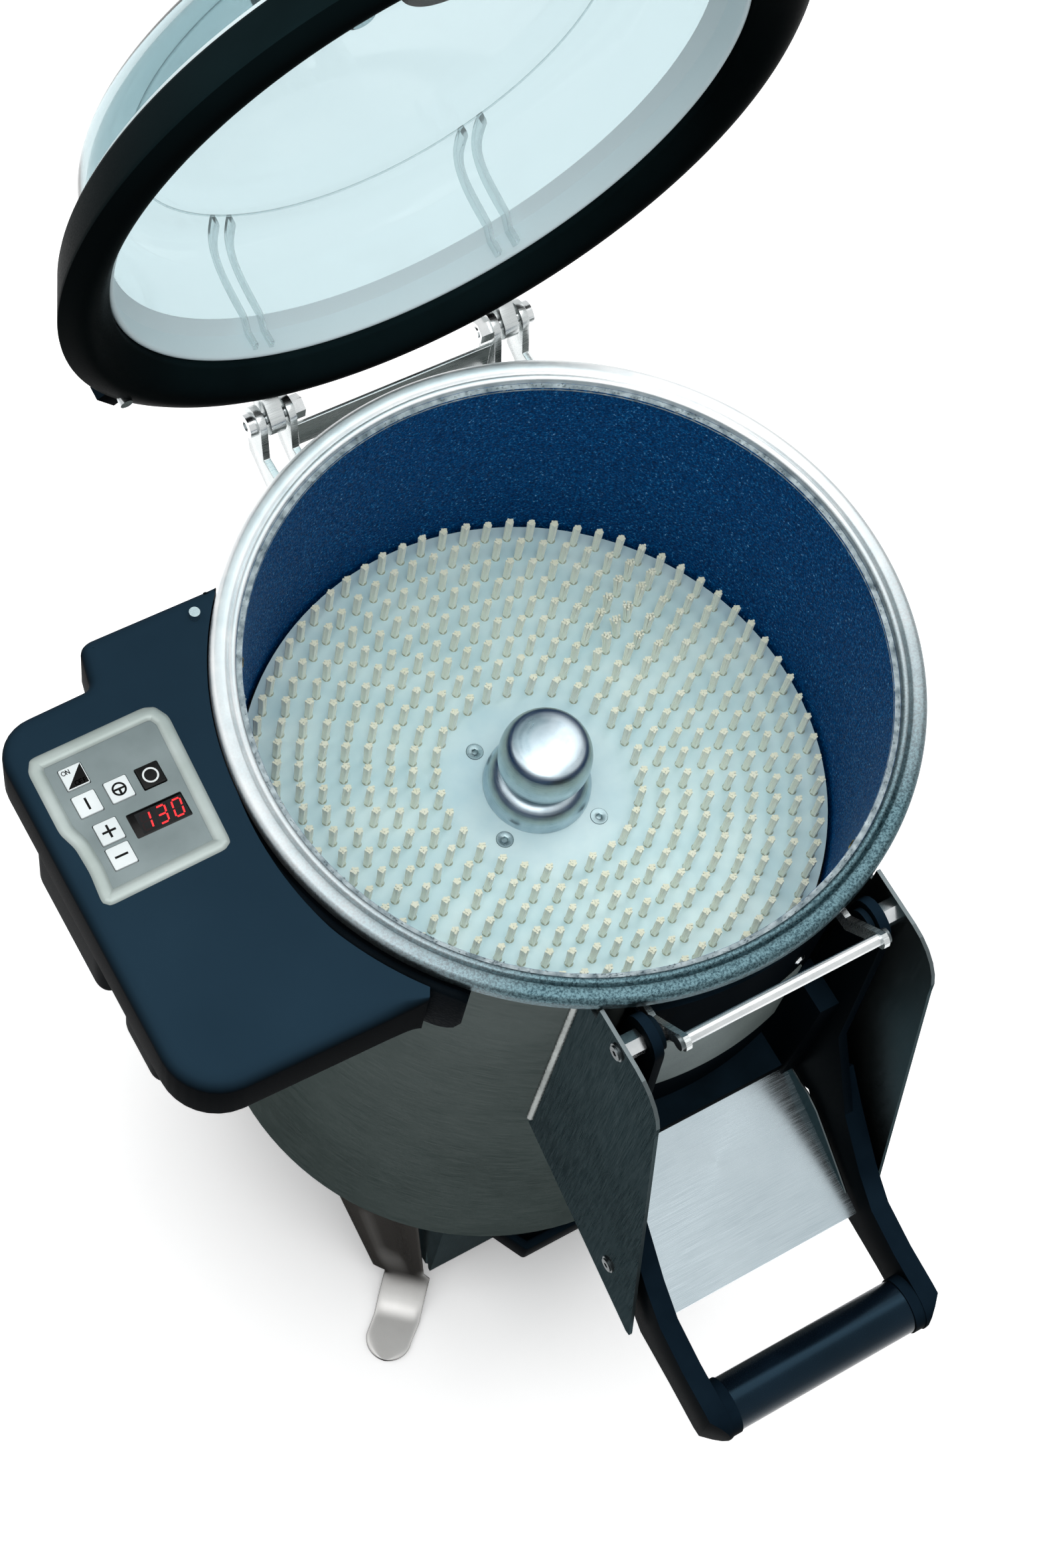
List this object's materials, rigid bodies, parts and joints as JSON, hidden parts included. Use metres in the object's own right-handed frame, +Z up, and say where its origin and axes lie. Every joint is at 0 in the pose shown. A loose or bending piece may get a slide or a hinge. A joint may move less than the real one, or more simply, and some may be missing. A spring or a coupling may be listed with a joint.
{
  "type": "mussel cleaning machine",
  "caption": "Deep drum machine that brushes mussels clean on a turning bristle plate, with hinged clear lid, discharge door with pull handle and a key panel.",
  "frame": {"origin": "middle of the footprint with the lid open and the door shut, on the floor", "axes": "+Z up, -Y to the front (discharge door), -X to the control housing"},
  "size_m": [0.4384, 0.6006, 0.9098],
  "materials": {
    "stainless_brushed": "brushed sheet",
    "stainless_dark": "brushed sheet, dark reflection",
    "steel_bright": "bright turned steel",
    "rim_metal": "worn satin rolled edge",
    "abrasive_blue": "coarse abrasive grain on a blue sheet",
    "brass": "bright rivet",
    "housing_black": "moulded, fine sheen",
    "black_rubber": "moulded rubber",
    "black_plastic": "moulded",
    "bezel_grey": "silver paint on moulding",
    "membrane_grey": "printed film",
    "key_white": "moulded cap",
    "key_black": "moulded cap",
    "display_red": "red filter window",
    "electronics": "circuit board",
    "clear_dome": "clear moulded dome",
    "plate_white": "turned white plate",
    "bristle_cream": "bundled bristles",
    "zinc_satin": "satin cast knob",
    "motor_grey": "cast and painted",
    "label_white": "blank plate"
  },
  "bodies": {
    "machine": {"drum_shell": "stainless_dark", "drum_rim": "rim_metal", "abrasive_liner": "abrasive_blue", "liner_rivets": "brass", "bottom_plate": "stainless_dark", "base_box": "stainless_dark", "base_covers": "black_plastic", "waste_spout": "black_plastic", "drain_duct": "stainless_brushed", "legs": "stainless_brushed", "leg_bolts": "steel_bright", "gear_motor": "motor_grey", "motor_bolts": "steel_bright", "shaft_seal": "black_rubber", "control_housing": "housing_black", "housing_belly": "housing_black", "housing_gasket": "black_rubber", "control_bezel": "bezel_grey", "membrane_panel": "membrane_grey", "display_module": "key_black", "display_window": "display_red", "control_board": "electronics", "lid_switch": "key_black", "chute_panel_left": "stainless_dark", "chute_panel_right": "stainless_dark", "chute_floor": "stainless_brushed", "pivot_standoffs": "steel_bright", "pivot_washers": "black_plastic", "panel_screws": "steel_bright", "guide_pads": "black_rubber", "catch_rod": "steel_bright", "catch_arms": "stainless_brushed", "catch_screws": "steel_bright", "hinge_bracket": "stainless_brushed", "hinge_bolts": "steel_bright"},
    "lid": {"lid_dome": "clear_dome", "lid_ring": "black_rubber", "lid_lugs": "stainless_brushed", "lid_handle": "housing_black", "dome_boss": "clear_dome", "switch_tab": "black_plastic", "switch_pin": "steel_bright"},
    "brush": {"brush_plate": "plate_white", "brush_tufts": "bristle_cream", "hub_knob": "zinc_satin", "plate_screws": "steel_bright", "drive_shaft": "steel_bright"},
    "door": {"door_panel": "black_plastic", "door_plate": "label_white", "door_rivets": "steel_bright", "door_arms": "housing_black", "door_grip": "black_plastic", "grip_collars": "housing_black"},
    "plunger": {"switch_plunger": "steel_bright"},
    "key_on_off_body": {"key_on_off": "key_white"},
    "key_start_body": {"key_start": "key_white"},
    "key_stop_body": {"key_stop": "key_black"},
    "key_pulse_body": {"key_pulse": "key_white"},
    "key_plus_body": {"key_plus": "key_white"},
    "key_minus_body": {"key_minus": "key_white"}
  },
  "joints": [
    {"name": "lid_hinge", "type": "hinge", "parent": "machine", "child": "lid", "pos_m": [0.03775, 0.20355, 0.551], "axis": [1, 0, 0], "range_deg": [0, 82]},
    {"name": "brush_spin", "type": "hinge", "parent": "machine", "child": "brush", "pos_m": [0.03775, 0.02355, 0.41], "axis": [0, 0, 1], "continuous": true},
    {"name": "door_swing", "type": "hinge", "parent": "machine", "child": "door", "pos_m": [0.03775, -0.14845, 0.536], "axis": [-1, 0, 0], "range_deg": [0, 65]},
    {"name": "plunger_press", "type": "slide", "parent": "machine", "child": "plunger", "axis": [0, 0, -1], "range_m": [0, 0.004], "stiffness_N_per_m": 300},
    {"name": "key_on_off_press", "type": "slide", "parent": "machine", "child": "key_on_off_body", "axis": [0, 0, -1], "range_m": [0, 0.0006], "stiffness_N_per_m": 800},
    {"name": "key_start_press", "type": "slide", "parent": "machine", "child": "key_start_body", "axis": [0, 0, -1], "range_m": [0, 0.0006], "stiffness_N_per_m": 800},
    {"name": "key_stop_press", "type": "slide", "parent": "machine", "child": "key_stop_body", "axis": [0, 0, -1], "range_m": [0, 0.0006], "stiffness_N_per_m": 800},
    {"name": "key_pulse_press", "type": "slide", "parent": "machine", "child": "key_pulse_body", "axis": [0, 0, -1], "range_m": [0, 0.0006], "stiffness_N_per_m": 800},
    {"name": "key_plus_press", "type": "slide", "parent": "machine", "child": "key_plus_body", "axis": [0, 0, -1], "range_m": [0, 0.0006], "stiffness_N_per_m": 800},
    {"name": "key_minus_press", "type": "slide", "parent": "machine", "child": "key_minus_body", "axis": [0, 0, -1], "range_m": [0, 0.0006], "stiffness_N_per_m": 800}
  ]
}
